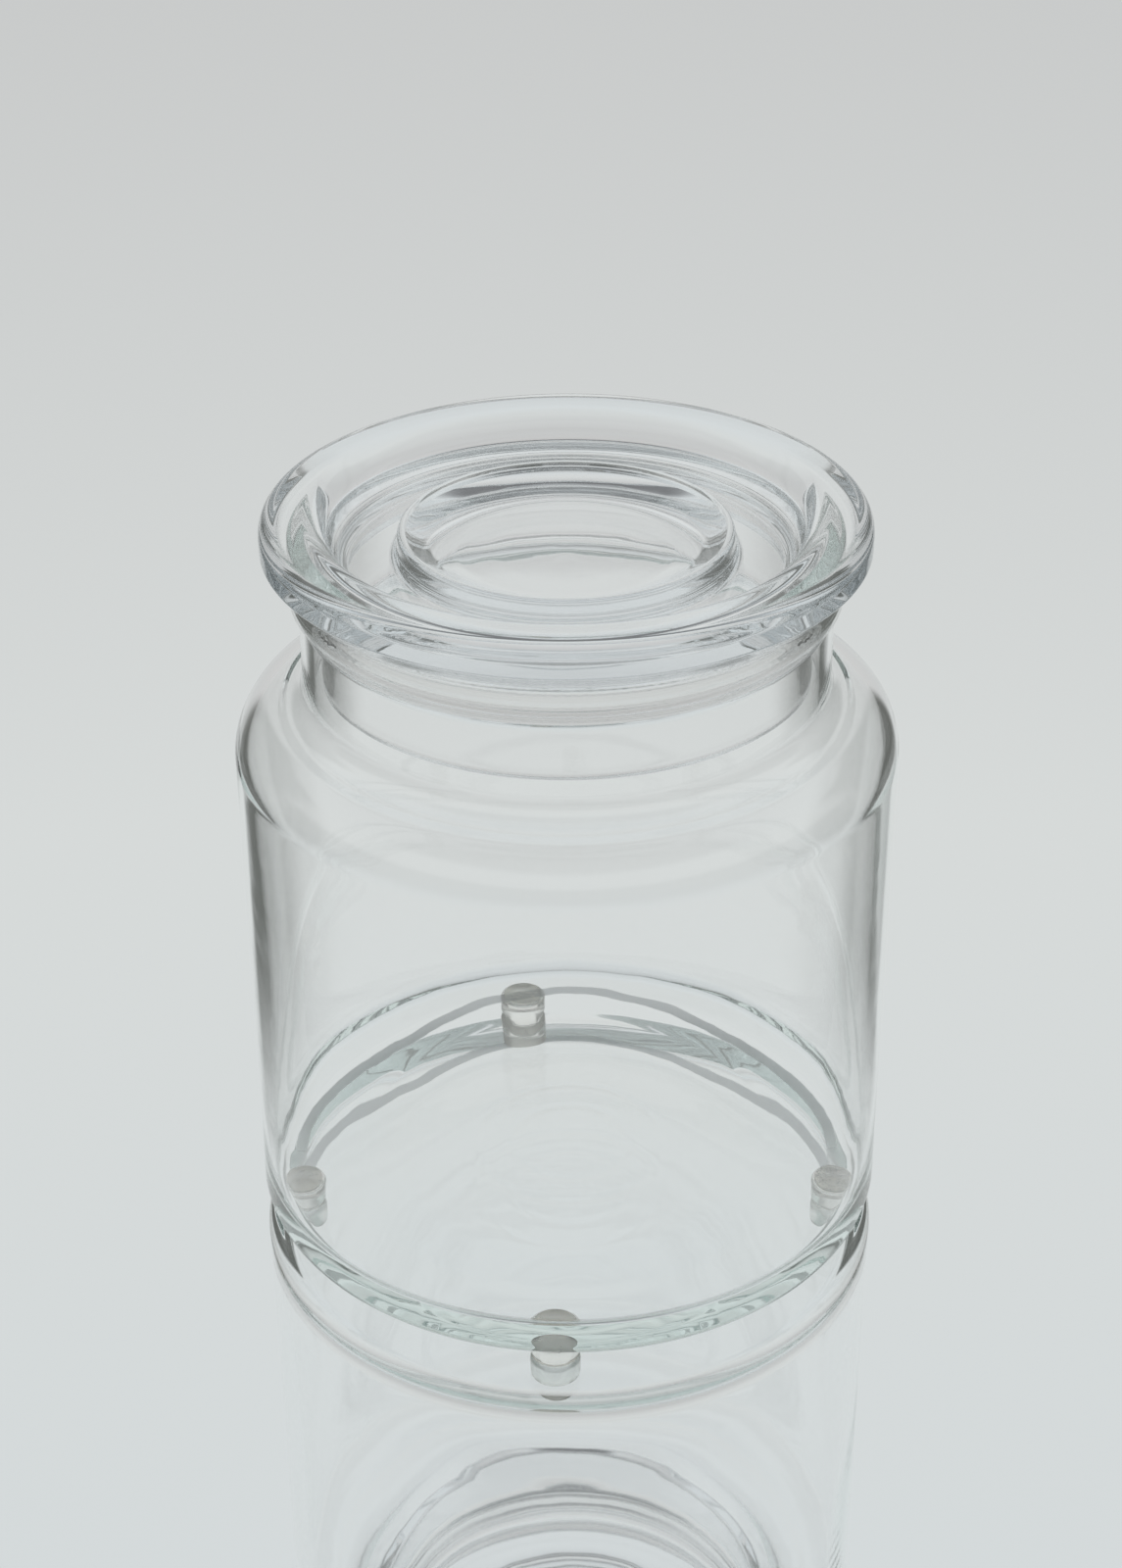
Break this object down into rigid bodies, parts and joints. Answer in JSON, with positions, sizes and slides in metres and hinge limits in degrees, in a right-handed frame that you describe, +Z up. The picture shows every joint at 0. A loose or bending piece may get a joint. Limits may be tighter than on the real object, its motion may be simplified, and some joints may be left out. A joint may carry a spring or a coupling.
{
  "type": "specimen jar",
  "caption": "Clear glass specimen jar with a plug lid that has a raised rim, finger groove and centre ring, a flexible seal ring and small bumper feet under the base.",
  "frame": {"origin": "centre of the floor plane under the four feet, on the jar's axis", "axes": "+Z up along the jar's axis of revolution, -Y towards the front foot, +X to the right"},
  "size_m": [0.13, 0.13, 0.1573],
  "materials": {
    "jar_glass": "gloss",
    "lid_glass": "gloss",
    "seal_clear": "satin",
    "foot_clear": "satin",
    "adhesive_clear": "satin"
  },
  "bodies": {
    "jar": {"jar_body": "jar_glass", "foot_front": "foot_clear", "foot_right": "foot_clear", "foot_back": "foot_clear", "foot_left": "foot_clear", "foot_adhesive": "adhesive_clear"},
    "seal": {"lid_seal": "seal_clear"},
    "lid": {"lid": "lid_glass"}
  },
  "joints": [
    {"name": "lid_lift", "type": "slide", "parent": "jar", "child": "seal", "axis": [0, 0, 1], "range_m": [0, 0.06]},
    {"name": "lid_turn", "type": "hinge", "parent": "seal", "child": "lid", "pos_m": [0, 0, 0.1418], "axis": [0, 0, 1], "continuous": true}
  ]
}
